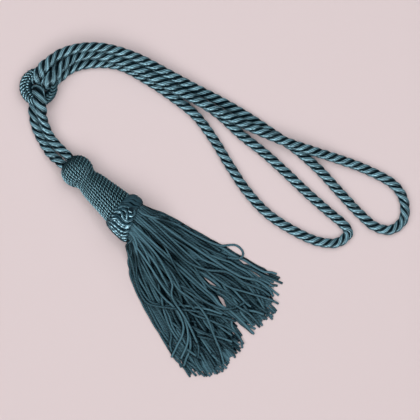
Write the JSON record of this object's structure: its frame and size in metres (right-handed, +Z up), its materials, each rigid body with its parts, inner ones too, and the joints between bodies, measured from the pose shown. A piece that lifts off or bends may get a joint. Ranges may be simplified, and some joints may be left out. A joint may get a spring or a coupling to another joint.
{
  "type": "curtain tieback tassel",
  "caption": "Twisted cord curtain tieback folded through a covered ring, with two long loops and a long cut-fringe tassel, lying on a flat surface.",
  "frame": {"origin": "centre of the box around the ring and the tassel, on the surface that the part lies on", "axes": "+Z up from the surface; the tassel lies down to the lower right and the loops reach to +X"},
  "size_m": [0.3108, 0.2648, 0.0412],
  "materials": {
    "rope": "satin rayon, three-strand twist",
    "ring_cover": "satin rayon yarn, buttonholed",
    "head_winding": "fine corded winding",
    "collar_cord": "satin rayon cord",
    "fringe": "fine twisted rayon fringe, soft sheen"
  },
  "bodies": {
    "root": {"loop_rope": "rope", "tassel_cord": "rope", "cord_ring": "ring_cover", "tassel_head": "head_winding", "collar_rope": "collar_cord", "collar_knot": "collar_cord", "tassel_skirt": "fringe"}
  },
  "joints": []
}
